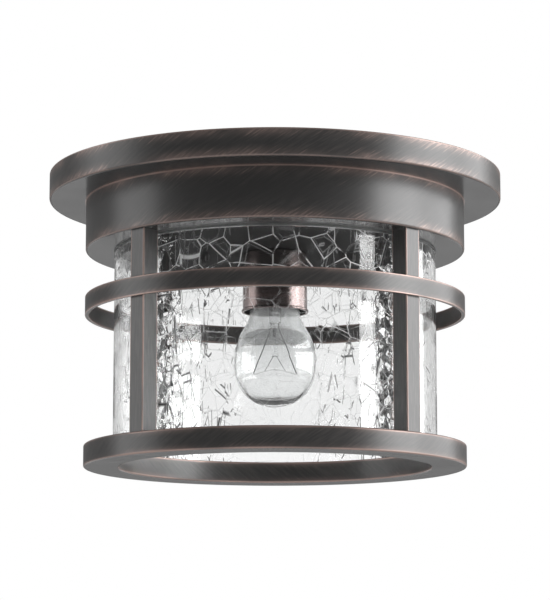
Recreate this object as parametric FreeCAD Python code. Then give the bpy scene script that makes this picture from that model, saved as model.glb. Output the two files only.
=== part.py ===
"""Porch ceiling lantern: a stepped metal canopy, a four-post cage round a crackle-glass cylinder,
and a screw-in lamp that hangs from a socket cup.

Millimetres, +Z up. The origin is the centre of the ceiling plane, so everything hangs below z = 0.
"""

import FreeCAD
import Part
import math
import os

# ---- canopy ---------------------------------------------------------------------------------
pan_radius = 165.0
pan_height = 19.7
pan_sheet = 1.2
pan_hem_height = 8.0
pan_edge_radius = 1.6

drum_radius = 138.2
drum_height = 36.7
drum_sheet = 1.2
drum_edge_radius = 1.8
drum_fit = 0.05

rim_gasket_thickness = 3.0

# ---- cage -----------------------------------------------------------------------------------
post_width = 13.5
post_wall = 1.5
post_first_angle = 45.0
post_spacing_angle = 90.0

ring_width = 25.5
ring_height = 15.9
ring_edge_radius = 1.3

cage_height = 157.5

band_thickness = 2.8
band_height = 13.6
band_drop = 33.7
band_edge_radius = 0.5

post_thread_radius = 2.5
plug_length = 14.0
ring_stud_engagement = 10.0
post_screw_length = 14.0
post_screw_head_radius = 4.5
post_screw_head_height = 3.0
post_screw_washer_radius = 5.0
post_screw_washer_thickness = 1.0

# ---- glass ----------------------------------------------------------------------------------
glass_wall = 2.8
glass_groove_lip = 1.3
glass_groove_depth = 4.0
glass_groove_clearance = 0.3
glass_edge_radius = 0.8
glass_top_gasket_thickness = 1.5
glass_bottom_gasket_thickness = 1.5

# ---- mounting strap -------------------------------------------------------------------------
strap_width = 22.0
strap_thickness = 2.4
strap_corner_radius = 3.0
box_slot_spacing = 79.4
box_slot_length = 14.3
box_slot_width = 4.8
strap_centre_hole_radius = 5.2
strap_web_beside_slot = 5.15
strap_end_beyond_stud = 9.5

stud_radius = 2.0
stud_engagement = 5.0
stud_nut_flats = 7.0
stud_nut_height = 3.2
stud_hole_clearance = 0.3

seal_washer_radius = 5.5
seal_washer_thickness = 1.2
cap_nut_flats = 9.0
cap_nut_hex_height = 4.0
cap_nut_dome_radius = 4.3
cap_nut_bore_spare = 1.0

ground_screw_offset = 14.0
ground_screw_radius = 1.9
ground_screw_flats = 6.4
ground_screw_head_height = 3.0
ground_screw_flange_radius = 4.6
ground_screw_flange_thickness = 0.8

# ---- lamp socket ----------------------------------------------------------------------------
cup_radius = 23.5
cup_height = 43.6
cup_sheet = 1.0
cup_lip_reach = 0.9
cup_lip_height = 1.8
cup_edge_radius = 1.5

barrel_radius = 17.9
barrel_hole_clearance = 0.3
barrel_recess_in_cup = 12.5
body_head_radius = 25.5
body_head_height = 9.2
body_edge_radius = 1.0
well_radius = 14.4
well_floor_drop = 2.1

socket_screw_radius = 1.5
socket_screw_offset = 20.9
socket_screw_head_radius = 2.8
socket_screw_head_height = 2.0

shell_sheet = 0.35
shell_floor_hole_radius = 6.5
shell_thread_length = 20.15
shell_mouth_length = 6.65
shell_mouth_clearance = 0.3

contact_thickness = 0.5
contact_width = 6.0
contact_length = 10.0
rivet_radius = 1.25
rivet_head_radius = 2.4
rivet_head_height = 0.5
shell_rivet_offset = 10.0

terminal_width = 7.0
terminal_length = 20.0
terminal_thickness = 0.8
terminal_start = -4.0
terminal_screw_position = 11.5
terminal_screw_radius = 1.75
terminal_screw_depth = 5.0
terminal_screw_head_radius = 3.3
terminal_screw_head_height = 2.2

# ---- screw thread shared by the socket shell and the lamp cap ---------------------------------
# Every level section of this round thread is a circle whose centre goes once round the axis per
# pitch, so the shell and the cap keep the same gap all the way as the lamp is turned out.
thread_pitch = 3.629
thread_depth = 0.84
thread_sections_per_turn = 6
cap_thread_mean_radius = 12.65
thread_clearance = 0.3

# ---- lamp -----------------------------------------------------------------------------------
contact_gap = 0.2
tip_radius = 4.6
tip_height = 1.7
insulator_top_radius = 6.4
insulator_height = 3.2
insulator_foot_radius = 11.4
insulator_wall = 2.0

cap_sheet = 0.3
cap_top_hole_radius = 9.5
cap_thread_length = 16.4
cap_skirt_radius = 13.1
cap_skirt_length = 4.7

bulb_radius = 29.85
bulb_length = 110.0
bulb_wall = 0.7
bulb_neck_radius = 11.4
bulb_neck_reach_in_cap = 10.0
cement_length = 4.0

stem_flare_length = 20.0
stem_wall = 0.9
stem_press_radius = 3.4
stem_press_drop = 23.0
stem_press_length = 8.0
stem_rod_radius = 1.6
stem_rod_length = 22.0
stem_button_radius = 2.6
stem_button_height = 1.8

lead_radius = 0.35
lead_spacing = 5.4
lead_length_in_stem = 22.0
filament_drop = 59.5
filament_span = 31.2
filament_rise = 3.2
support_radius = 0.2
support_span = 14.8
support_rise = 1.8
filament_radius = 0.3

# ---- levels, worked down from the ceiling -----------------------------------------------------
ceiling_z = 0.0
pan_floor_z = ceiling_z - pan_height
drum_floor_z = pan_floor_z - drum_height
drum_floor_top_z = drum_floor_z + drum_sheet
cage_bottom_z = drum_floor_z - cage_height
ring_top_z = cage_bottom_z + ring_height
band_top_z = drum_floor_z - band_drop
band_bottom_z = band_top_z - band_height

# the band and the ring stand in line with the drum above them
band_inner_radius = drum_radius - band_thickness
ring_inner_radius = drum_radius - ring_width

groove_inner_radius = ring_inner_radius + glass_groove_lip
groove_floor_z = ring_top_z - glass_groove_depth
glass_inner_radius = groove_inner_radius + glass_groove_clearance
glass_radius = glass_inner_radius + glass_wall
groove_radius = glass_radius + glass_groove_clearance
glass_top_z = drum_floor_z - glass_top_gasket_thickness
glass_bottom_z = groove_floor_z + glass_bottom_gasket_thickness

# along the strap, from its middle outwards: the box's slot, a web of metal, the stud, the strap's end
stud_spacing = box_slot_spacing + box_slot_length + 2 * (strap_web_beside_slot + stud_radius)
strap_length = stud_spacing + 2 * strap_end_beyond_stud

# a post's two outer corners just reach the inside of the band, where they are welded
post_outer_face = math.sqrt(band_inner_radius ** 2 - (post_width / 2) ** 2)
post_centre_radius = post_outer_face - post_width / 2

cup_bottom_z = drum_floor_z - cup_height
body_top_z = drum_floor_top_z + body_head_height
well_floor_z = drum_floor_z - well_floor_drop
barrel_bottom_z = cup_bottom_z + barrel_recess_in_cup
contact_face_z = well_floor_z - contact_thickness - rivet_head_height
shell_floor_bottom_z = well_floor_z - shell_sheet
shell_thread_bottom_z = shell_floor_bottom_z - shell_thread_length

thread_offset = thread_depth / 2
shell_thread_mean_radius = cap_thread_mean_radius + thread_clearance
shell_mouth_inner_radius = cap_skirt_radius + shell_mouth_clearance

tip_top_z = contact_face_z - contact_gap
insulator_top_z = tip_top_z - tip_height
cap_top_z = insulator_top_z - insulator_height
cap_thread_bottom_z = cap_top_z - cap_thread_length
cap_bottom_z = cap_thread_bottom_z - cap_skirt_length
bulb_bottom_z = tip_top_z - bulb_length
bulb_centre_z = bulb_bottom_z + bulb_radius
bulb_neck_top_z = cap_bottom_z + bulb_neck_reach_in_cap

press_top_z = cap_bottom_z - stem_press_drop + stem_press_length
press_bottom_z = cap_bottom_z - stem_press_drop
rod_bottom_z = press_bottom_z - stem_rod_length
lead_top_z = press_bottom_z + lead_length_in_stem
filament_z = cap_bottom_z - filament_drop

# The pear shape between the lamp's neck and its widest circle: how far out each point lies from the
# neck (0) to the widest circle (1), and how far down it lies from the cap (0) to that circle (1).
bulb_shoulder = (
    (0.13, 0.08),
    (0.30, 0.21),
    (0.385, 0.34),
    (0.55, 0.46),
    (0.77, 0.585),
    (0.93, 0.72),
)

Z_AXIS = FreeCAD.Vector(0, 0, 1)
ORIGIN = FreeCAD.Vector(0, 0, 0)


# ---- helpers ----------------------------------------------------------------------------------
def rounded_outline(corners):
    """Close a (radius, height, corner radius) outline in the XZ plane, with its corners rounded."""
    points = [FreeCAD.Vector(corner[0], 0, corner[1]) for corner in corners]
    edges = []
    starts = []
    ends = []
    arcs = []
    for index, corner in enumerate(corners):
        here = points[index]
        rounding = corner[2]
        if rounding == 0:
            starts.append(here)
            ends.append(here)
            arcs.append(None)
            continue
        back = (points[index - 1] - here).normalize()
        onward = (points[(index + 1) % len(points)] - here).normalize()
        half_angle = back.getAngle(onward) / 2
        reach = rounding / math.tan(half_angle)
        inward = (back + onward).normalize()
        middle = here + inward * (rounding / math.sin(half_angle) - rounding)
        starts.append(here + back * reach)
        ends.append(here + onward * reach)
        arcs.append(middle)
    for index in range(len(points)):
        if arcs[index] is not None:
            edges.append(Part.Arc(starts[index], arcs[index], ends[index]).toShape())
        following = (index + 1) % len(points)
        if ends[index].distanceToPoint(starts[following]) > 1e-6:
            edges.append(Part.LineSegment(ends[index], starts[following]).toShape())
    return Part.Wire(edges)


def turned(corners):
    """Spin a (radius, height, corner radius) outline round the Z axis."""
    return Part.Face(rounded_outline(corners)).revolve(ORIGIN, Z_AXIS, 360)


def disc(radius, z_bottom, z_top, x=0.0, y=0.0):
    return Part.makeCylinder(radius, z_top - z_bottom, FreeCAD.Vector(x, y, z_bottom))


def ring(outer_radius, inner_radius, z_bottom, z_top):
    return disc(outer_radius, z_bottom, z_top).cut(disc(inner_radius, z_bottom, z_top))


def hexagon(across_flats, z_bottom, z_top, x=0.0, y=0.0):
    reach = across_flats / math.sqrt(3)
    corners = []
    for index in range(7):
        angle = math.radians(60 * index)
        corners.append(FreeCAD.Vector(x + reach * math.cos(angle), y + reach * math.sin(angle), z_bottom))
    return Part.Face(Part.makePolygon(corners)).extrude(FreeCAD.Vector(0, 0, z_top - z_bottom))


def block(x_from, x_to, y_from, y_to, z_bottom, z_top):
    corner = FreeCAD.Vector(x_from, y_from, z_bottom)
    return Part.makeBox(x_to - x_from, y_to - y_from, z_top - z_bottom, corner)


def joined(shapes):
    whole = shapes[0]
    for shape in shapes[1:]:
        whole = whole.fuse(shape)
    return whole.removeSplitter()


def wire_rod(points, radius):
    """A round wire along straight runs, with a ball at each bend."""
    pieces = []
    for start, end in zip(points[:-1], points[1:]):
        run = end - start
        pieces.append(Part.makeCylinder(radius, run.Length, start, run))
    for bend in points[1:-1]:
        pieces.append(Part.makeSphere(radius, bend))
    return joined(pieces)


def turned_about_z(shape, angle):
    copy = shape.copy()
    copy.rotate(ORIGIN, Z_AXIS, angle)
    return copy


def thread_core(mean_radius, z_bottom, z_top):
    """A solid right-hand round thread: level circles whose centre circles the axis once per pitch."""
    count = math.ceil((z_top - z_bottom) / thread_pitch * thread_sections_per_turn)
    sections = []
    for index in range(count + 1):
        z = z_bottom + (z_top - z_bottom) * index / count
        angle = 2 * math.pi * z / thread_pitch
        centre = FreeCAD.Vector(thread_offset * math.cos(angle), thread_offset * math.sin(angle), z)
        sections.append(Part.Wire(Part.makeCircle(mean_radius, centre, Z_AXIS)))
    return Part.makeLoft(sections, True, True)


def post_angles():
    count = round(360 / post_spacing_angle)
    return [post_first_angle + index * post_spacing_angle for index in range(count)]


def at_posts(shape):
    """Copy a shape made at +X, on a post's own axis, to all the posts."""
    return Part.makeCompound([turned_about_z(shape, angle) for angle in post_angles()])


def at_studs(make):
    """Make one piece at each fixture stud, given its x position."""
    return Part.makeCompound([make(side * stud_spacing / 2) for side in (-1, 1)])


def save(name, shape):
    shape.exportStep(os.path.join("parts", name + ".step"))


# ---- canopy -----------------------------------------------------------------------------------
def ceiling_pan():
    hole_radius = drum_radius + drum_fit
    inner_radius = pan_radius - pan_sheet
    hem_radius = inner_radius - pan_sheet
    hem_bottom_z = ceiling_z - pan_hem_height
    floor_top_z = pan_floor_z + pan_sheet
    return turned([
        (hole_radius, pan_floor_z, 0),
        (pan_radius, pan_floor_z, pan_edge_radius),
        (pan_radius, ceiling_z, pan_sheet / 2),
        (hem_radius, ceiling_z, pan_sheet / 2),
        (hem_radius, hem_bottom_z, 0),
        (inner_radius, hem_bottom_z, 0),
        (inner_radius, floor_top_z, pan_edge_radius - pan_sheet),
        (hole_radius, floor_top_z, 0),
    ])


def rim_gasket():
    outer_radius = pan_radius - 2 * pan_sheet
    z_bottom = ceiling_z - pan_hem_height
    z_top = ceiling_z - pan_sheet / 2
    return ring(outer_radius, outer_radius - rim_gasket_thickness, z_bottom, z_top)


def drum_shell():
    """The drum's wall is welded into the hole of the pan; its floor carries everything below."""
    inner_radius = drum_radius - drum_sheet
    wall_top_z = pan_floor_z + pan_sheet
    shell = turned([
        (0, drum_floor_z, 0),
        (drum_radius, drum_floor_z, drum_edge_radius),
        (drum_radius, wall_top_z, 0),
        (inner_radius, wall_top_z, 0),
        (inner_radius, drum_floor_top_z, drum_edge_radius - drum_sheet),
        (0, drum_floor_top_z, 0),
    ])
    holes = [disc(barrel_radius + barrel_hole_clearance, drum_floor_z, drum_floor_top_z)]
    for side in (-1, 1):
        stud_x = side * stud_spacing / 2
        screw_y = side * socket_screw_offset
        holes.append(disc(stud_radius + stud_hole_clearance, drum_floor_z, drum_floor_top_z, stud_x))
        holes.append(disc(socket_screw_radius, drum_floor_z, drum_floor_top_z, 0, screw_y))
    holes.append(at_posts(disc(post_thread_radius, drum_floor_z, drum_floor_top_z, post_centre_radius)))
    return shell.cut(Part.makeCompound(holes))


# ---- mounting strap and its fixings -------------------------------------------------------------
def mounting_strap():
    z_bottom = ceiling_z - strap_thickness
    strap = block(-strap_length / 2, strap_length / 2, -strap_width / 2, strap_width / 2,
                  z_bottom, ceiling_z)
    upright = [edge for edge in strap.Edges if edge.tangentAt(edge.FirstParameter).cross(Z_AXIS).Length < 0.01]
    strap = strap.makeFillet(strap_corner_radius, upright)
    holes = [disc(strap_centre_hole_radius, z_bottom, ceiling_z)]
    holes.append(disc(ground_screw_radius, z_bottom, ceiling_z, ground_screw_offset))
    half_straight = (box_slot_length - box_slot_width) / 2
    for side in (-1, 1):
        slot_x = side * box_slot_spacing / 2
        holes.append(block(slot_x - half_straight, slot_x + half_straight,
                           -box_slot_width / 2, box_slot_width / 2, z_bottom, ceiling_z))
        for end in (-1, 1):
            holes.append(disc(box_slot_width / 2, z_bottom, ceiling_z, slot_x + end * half_straight))
        holes.append(disc(stud_radius, z_bottom, ceiling_z, side * stud_spacing / 2))
    for hole in holes:
        strap = strap.cut(hole)
    return strap


def seal_washer_bottom_z():
    return drum_floor_z - seal_washer_thickness


def fixture_stud(x):
    return disc(stud_radius, seal_washer_bottom_z() - stud_engagement, ceiling_z, x)


def stud_lock_nut(x):
    z_top = ceiling_z - strap_thickness
    z_bottom = z_top - stud_nut_height
    return hexagon(stud_nut_flats, z_bottom, z_top, x).cut(disc(stud_radius, z_bottom, z_top, x))


def seal_washer(x):
    z_bottom = seal_washer_bottom_z()
    return disc(seal_washer_radius, z_bottom, drum_floor_z, x).cut(disc(stud_radius, z_bottom, drum_floor_z, x))


def cap_nut(x):
    z_top = seal_washer_bottom_z()
    z_hex = z_top - cap_nut_hex_height
    z_bore = z_top - stud_engagement - cap_nut_bore_spare
    dome = Part.makeSphere(cap_nut_dome_radius, FreeCAD.Vector(x, 0, z_hex))
    below = disc(cap_nut_dome_radius, z_hex - cap_nut_dome_radius, z_hex, x)
    nut = hexagon(cap_nut_flats, z_hex, z_top, x).fuse(dome.common(below))
    return nut.cut(disc(stud_radius, z_bore, z_top, x))


def ground_screw():
    z_top = ceiling_z - strap_thickness
    z_flange = z_top - ground_screw_flange_thickness
    z_bottom = z_flange - ground_screw_head_height
    return joined([
        disc(ground_screw_radius, z_top, ceiling_z, ground_screw_offset),
        disc(ground_screw_flange_radius, z_flange, z_top, ground_screw_offset),
        hexagon(ground_screw_flats, z_bottom, z_flange, ground_screw_offset),
    ])


# ---- cage ---------------------------------------------------------------------------------------
def square_bar(width, z_bottom, z_top):
    """A square bar on a post's axis, its outer face towards +X."""
    half = width / 2
    return block(post_centre_radius - half, post_centre_radius + half, -half, half, z_bottom, z_top)


def post():
    bore = square_bar(post_width - 2 * post_wall, ring_top_z, drum_floor_z)
    return square_bar(post_width, ring_top_z, drum_floor_z).cut(bore)


def post_plug(z_bottom):
    """A tapped plug in one end of a post."""
    z_top = z_bottom + plug_length
    hole = disc(post_thread_radius, z_bottom, z_top, post_centre_radius)
    return square_bar(post_width - 2 * post_wall, z_bottom, z_top).cut(hole)


def post_end_plugs():
    top_plug = post_plug(drum_floor_z - plug_length)
    foot_plug = post_plug(ring_top_z)
    return at_posts(Part.makeCompound([top_plug, foot_plug]))


def ring_stud():
    """A stud half in the ring and half in the plug at a post's foot."""
    return disc(post_thread_radius, ring_top_z - ring_stud_engagement, ring_top_z + ring_stud_engagement,
                post_centre_radius)


def post_screw_washer():
    z_top = drum_floor_top_z + post_screw_washer_thickness
    hole = disc(post_thread_radius, drum_floor_top_z, z_top, post_centre_radius)
    return disc(post_screw_washer_radius, drum_floor_top_z, z_top, post_centre_radius).cut(hole)


def post_top_screw():
    z_head = drum_floor_top_z + post_screw_washer_thickness
    return joined([
        disc(post_thread_radius, drum_floor_top_z - post_screw_length, z_head, post_centre_radius),
        disc(post_screw_head_radius, z_head, z_head + post_screw_head_height, post_centre_radius),
    ])


def mid_band():
    return turned([
        (band_inner_radius, band_bottom_z, band_edge_radius),
        (drum_radius, band_bottom_z, band_edge_radius),
        (drum_radius, band_top_z, band_edge_radius),
        (band_inner_radius, band_top_z, band_edge_radius),
    ])


def bottom_ring():
    """A cast ring with a groove in its top for the glass, and a blind hole under each post."""
    casting = turned([
        (ring_inner_radius, cage_bottom_z, ring_edge_radius),
        (drum_radius, cage_bottom_z, ring_edge_radius),
        (drum_radius, ring_top_z, ring_edge_radius),
        (groove_radius, ring_top_z, 0),
        (groove_radius, groove_floor_z, 0),
        (groove_inner_radius, groove_floor_z, 0),
        (groove_inner_radius, ring_top_z, 0),
        (ring_inner_radius, ring_top_z, 0),
    ])
    hole = disc(post_thread_radius, ring_top_z - ring_stud_engagement, ring_top_z, post_centre_radius)
    return casting.cut(at_posts(hole))


# ---- glass --------------------------------------------------------------------------------------
def glass_cylinder():
    return turned([
        (glass_inner_radius, glass_bottom_z, glass_edge_radius),
        (glass_radius, glass_bottom_z, glass_edge_radius),
        (glass_radius, glass_top_z, glass_edge_radius),
        (glass_inner_radius, glass_top_z, glass_edge_radius),
    ])


def glass_gasket(z_bottom, z_top):
    """A flat ring as wide as the groove, under or over the glass."""
    return ring(groove_radius, groove_inner_radius, z_bottom, z_top)


# ---- socket -------------------------------------------------------------------------------------
def socket_cup():
    inner_radius = cup_radius - cup_sheet
    hole_radius = barrel_radius + barrel_hole_clearance
    plate_bottom_z = drum_floor_z - cup_sheet
    cup = turned([
        (hole_radius, plate_bottom_z, 0),
        (inner_radius, plate_bottom_z, cup_edge_radius - cup_sheet),
        (inner_radius, cup_bottom_z, 0),
        (cup_radius + cup_lip_reach, cup_bottom_z, cup_sheet / 2),
        (cup_radius + cup_lip_reach, cup_bottom_z + cup_lip_height, cup_sheet / 2),
        (cup_radius, cup_bottom_z + cup_lip_height, 0),
        (cup_radius, drum_floor_z, cup_edge_radius),
        (hole_radius, drum_floor_z, 0),
    ])
    for side in (-1, 1):
        cup = cup.cut(disc(socket_screw_radius, plate_bottom_z, drum_floor_z, 0, side * socket_screw_offset))
    return cup


def socket_body():
    """The porcelain: its head lies on the drum floor and its barrel hangs down inside the cup."""
    body = turned([
        (0, well_floor_z, 0),
        (well_radius, well_floor_z, 0),
        (well_radius, barrel_bottom_z, body_edge_radius),
        (barrel_radius, barrel_bottom_z, body_edge_radius),
        (barrel_radius, drum_floor_top_z, 0),
        (body_head_radius, drum_floor_top_z, body_edge_radius),
        (body_head_radius, body_top_z, body_edge_radius),
        (0, body_top_z, 0),
    ])
    holes = [disc(rivet_radius, well_floor_z, body_top_z)]
    for side in (-1, 1):
        holes.append(disc(rivet_radius, well_floor_z, body_top_z, 0, side * shell_rivet_offset))
        holes.append(disc(socket_screw_radius, drum_floor_top_z, body_top_z, 0, side * socket_screw_offset))
    for y in terminal_rows():
        holes.append(disc(terminal_screw_radius, body_top_z - terminal_screw_depth, body_top_z,
                          terminal_screw_position, y))
    return body.cut(Part.makeCompound(holes))


def socket_mounting_screws():
    screws = []
    for side in (-1, 1):
        y = side * socket_screw_offset
        screws.append(joined([
            disc(socket_screw_radius, drum_floor_z - cup_sheet, body_top_z, 0, y),
            disc(socket_screw_head_radius, body_top_z, body_top_z + socket_screw_head_height, 0, y),
        ]))
    return Part.makeCompound(screws)


def terminal_rows():
    """The two brass terminals lie side by side, over the contact rivet and one shell rivet."""
    return (0.0, shell_rivet_offset)


def socket_terminals():
    strips = []
    for y in terminal_rows():
        z_top = body_top_z + terminal_thickness
        strip = block(terminal_start, terminal_start + terminal_length,
                      y - terminal_width / 2, y + terminal_width / 2, body_top_z, z_top)
        strip = strip.cut(disc(rivet_radius, body_top_z, z_top, 0, y))
        strips.append(strip.cut(disc(terminal_screw_radius, body_top_z, z_top, terminal_screw_position, y)))
    return Part.makeCompound(strips)


def terminal_screws():
    screws = []
    z_head = body_top_z + terminal_thickness
    for y in terminal_rows():
        screws.append(joined([
            disc(terminal_screw_radius, body_top_z - terminal_screw_depth, z_head, terminal_screw_position, y),
            disc(terminal_screw_head_radius, z_head, z_head + terminal_screw_head_height,
                 terminal_screw_position, y),
        ]))
    return Part.makeCompound(screws)


def socket_screw_shell():
    floor = ring(shell_thread_mean_radius, shell_floor_hole_radius, shell_floor_bottom_z, well_floor_z)
    for side in (-1, 1):
        floor = floor.cut(disc(rivet_radius, shell_floor_bottom_z, well_floor_z, 0, side * shell_rivet_offset))
    outside = thread_core(shell_thread_mean_radius + shell_sheet, shell_thread_bottom_z, shell_floor_bottom_z)
    inside = thread_core(shell_thread_mean_radius, shell_thread_bottom_z, shell_floor_bottom_z)
    step_bottom_z = shell_thread_bottom_z - shell_sheet
    mouth_radius = shell_mouth_inner_radius + shell_sheet
    step_hole = thread_core(shell_thread_mean_radius, step_bottom_z, shell_thread_bottom_z)
    step = disc(mouth_radius, step_bottom_z, shell_thread_bottom_z).cut(step_hole)
    mouth = ring(mouth_radius, shell_mouth_inner_radius, step_bottom_z - shell_mouth_length, step_bottom_z)
    return floor.fuse([outside.cut(inside), step, mouth])


def socket_centre_contact():
    z_bottom = well_floor_z - contact_thickness
    strip = block(-contact_length / 2, contact_length / 2, -contact_width / 2, contact_width / 2,
                  z_bottom, well_floor_z)
    return strip.cut(disc(rivet_radius, z_bottom, well_floor_z))


def socket_rivets():
    """One rivet holds the centre contact and two hold the shell; each is upset on top as well."""
    rivets = []
    seats = {
        0.0: (well_floor_z - contact_thickness, body_top_z + terminal_thickness),
        shell_rivet_offset: (shell_floor_bottom_z, body_top_z + terminal_thickness),
        -shell_rivet_offset: (shell_floor_bottom_z, body_top_z),
    }
    for y, (z_bottom, z_top) in seats.items():
        rivets.append(joined([
            disc(rivet_radius, z_bottom, z_top, 0, y),
            disc(rivet_head_radius, z_bottom - rivet_head_height, z_bottom, 0, y),
            disc(rivet_head_radius, z_top, z_top + rivet_head_height, 0, y),
        ]))
    return Part.makeCompound(rivets)


# ---- lamp ---------------------------------------------------------------------------------------
def bulb_centre_contact():
    return turned([
        (0, insulator_top_z, 0),
        (tip_radius, insulator_top_z, 0),
        (tip_radius, tip_top_z, tip_height * 0.7),
        (0, tip_top_z, 0),
    ])


def bulb_cap_insulator():
    return turned([
        (lead_radius, insulator_top_z, 0),
        (insulator_top_radius, insulator_top_z, 0),
        (insulator_foot_radius, cap_top_z, 0),
        (insulator_foot_radius - insulator_wall, cap_top_z, 0),
        (insulator_top_radius - insulator_wall, insulator_top_z - insulator_wall, 0),
        (lead_radius, insulator_top_z - insulator_wall, 0),
    ])


def bulb_screw_cap():
    inner_mean_radius = cap_thread_mean_radius - cap_sheet
    outside = thread_core(cap_thread_mean_radius, cap_thread_bottom_z, cap_top_z)
    inside = thread_core(inner_mean_radius, cap_thread_bottom_z, cap_top_z - cap_sheet)
    shell = outside.cut(inside).cut(disc(cap_top_hole_radius, cap_top_z - cap_sheet, cap_top_z))
    step_bottom_z = cap_thread_bottom_z - cap_sheet
    step_hole = thread_core(inner_mean_radius, step_bottom_z, cap_thread_bottom_z)
    step = disc(cap_skirt_radius, step_bottom_z, cap_thread_bottom_z).cut(step_hole)
    skirt = ring(cap_skirt_radius, cap_skirt_radius - cap_sheet, cap_bottom_z, step_bottom_z)
    return shell.fuse([step, skirt])


def bulb_cap_cement():
    z_top = cap_bottom_z + cement_length
    return ring(cap_skirt_radius - cap_sheet, bulb_neck_radius, cap_bottom_z, z_top)


def bulb_profile(inset):
    """One side of the glass from the neck's top edge down to the lowest point, set in by inset."""
    drop = cap_bottom_z - bulb_centre_z
    reach = bulb_radius - bulb_neck_radius
    neck = FreeCAD.Vector(bulb_neck_radius - inset, 0, cap_bottom_z)
    shoulder = [neck]
    for out, down in bulb_shoulder:
        shoulder.append(FreeCAD.Vector(bulb_neck_radius + out * reach - inset, 0, cap_bottom_z - down * drop))
    widest = FreeCAD.Vector(bulb_radius - inset, 0, bulb_centre_z)
    shoulder.append(widest)
    curve = Part.BSplineCurve()
    curve.interpolate(Points=shoulder, InitialTangent=FreeCAD.Vector(0, 0, -1),
                      FinalTangent=FreeCAD.Vector(0, 0, -1))
    lowest = FreeCAD.Vector(0, 0, bulb_bottom_z + inset)
    slant = (bulb_radius - inset) / math.sqrt(2)
    halfway = FreeCAD.Vector(slant, 0, bulb_centre_z - slant)
    neck_top = FreeCAD.Vector(bulb_neck_radius - inset, 0, bulb_neck_top_z)
    return [
        Part.LineSegment(neck_top, neck).toShape(),
        curve.toShape(),
        Part.Arc(widest, halfway, lowest).toShape(),
    ]


def bulb_glass():
    outer = bulb_profile(0)
    inner = bulb_profile(bulb_wall)
    bottom = Part.LineSegment(FreeCAD.Vector(0, 0, bulb_bottom_z),
                              FreeCAD.Vector(0, 0, bulb_bottom_z + bulb_wall)).toShape()
    rim = Part.LineSegment(FreeCAD.Vector(bulb_neck_radius - bulb_wall, 0, bulb_neck_top_z),
                           FreeCAD.Vector(bulb_neck_radius, 0, bulb_neck_top_z)).toShape()
    outline = Part.Wire(Part.__sortEdges__(outer + [bottom] + inner + [rim]))
    return Part.Face(outline).revolve(ORIGIN, Z_AXIS, 360)


def bulb_stem():
    """The flared tube sealed into the neck, the flat press at its end, and the rod with its button."""
    flare_radius = bulb_neck_radius - bulb_wall
    flare_top_z = bulb_neck_top_z
    flare_foot_z = flare_top_z - stem_flare_length
    tube_radius = stem_press_radius + stem_wall
    stem = turned([
        (0, rod_bottom_z - stem_button_height, 0),
        (stem_button_radius, rod_bottom_z - stem_button_height, stem_button_height / 3),
        (stem_button_radius, rod_bottom_z, stem_button_height / 3),
        (stem_rod_radius, rod_bottom_z, 0),
        (stem_rod_radius, press_bottom_z, 0),
        (tube_radius, press_bottom_z, stem_wall),
        (tube_radius, flare_foot_z, 0),
        (flare_radius, flare_top_z, 0),
        (flare_radius - stem_wall, flare_top_z, 0),
        (tube_radius - stem_wall, flare_foot_z, 0),
        (tube_radius - stem_wall, press_top_z, 0),
        (0, press_top_z, 0),
    ])
    for side in (-1, 1):
        stem = stem.cut(disc(lead_radius, press_bottom_z, press_top_z, side * lead_spacing / 2))
    return stem


def bulb_lead_wires():
    wires = []
    for side in (-1, 1):
        x = side * lead_spacing / 2
        wires.append(wire_rod([
            FreeCAD.Vector(x, 0, lead_top_z),
            FreeCAD.Vector(x, 0, press_bottom_z - lead_spacing / 2),
            FreeCAD.Vector(side * filament_span / 2, 0, filament_z),
        ], lead_radius))
    return Part.makeCompound(wires)


def bulb_support_wires():
    z_top = rod_bottom_z - stem_button_height
    wires = []
    for side in (-1, 1):
        wires.append(wire_rod([
            FreeCAD.Vector(side * stem_button_radius / 2, 0, z_top),
            FreeCAD.Vector(side * support_span / 2, 0, filament_z + support_rise + filament_radius + support_radius),
        ], support_radius))
    return Part.makeCompound(wires)


def bulb_filament():
    clearance = lead_radius + filament_radius
    points = []
    for x, rise in (
        (-filament_span / 2, -clearance),
        (-support_span / 2, support_rise),
        (0.0, filament_rise),
        (support_span / 2, support_rise),
        (filament_span / 2, -clearance),
    ):
        points.append(FreeCAD.Vector(x, 0, filament_z + rise))
    return wire_rod(points, filament_radius)


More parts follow.
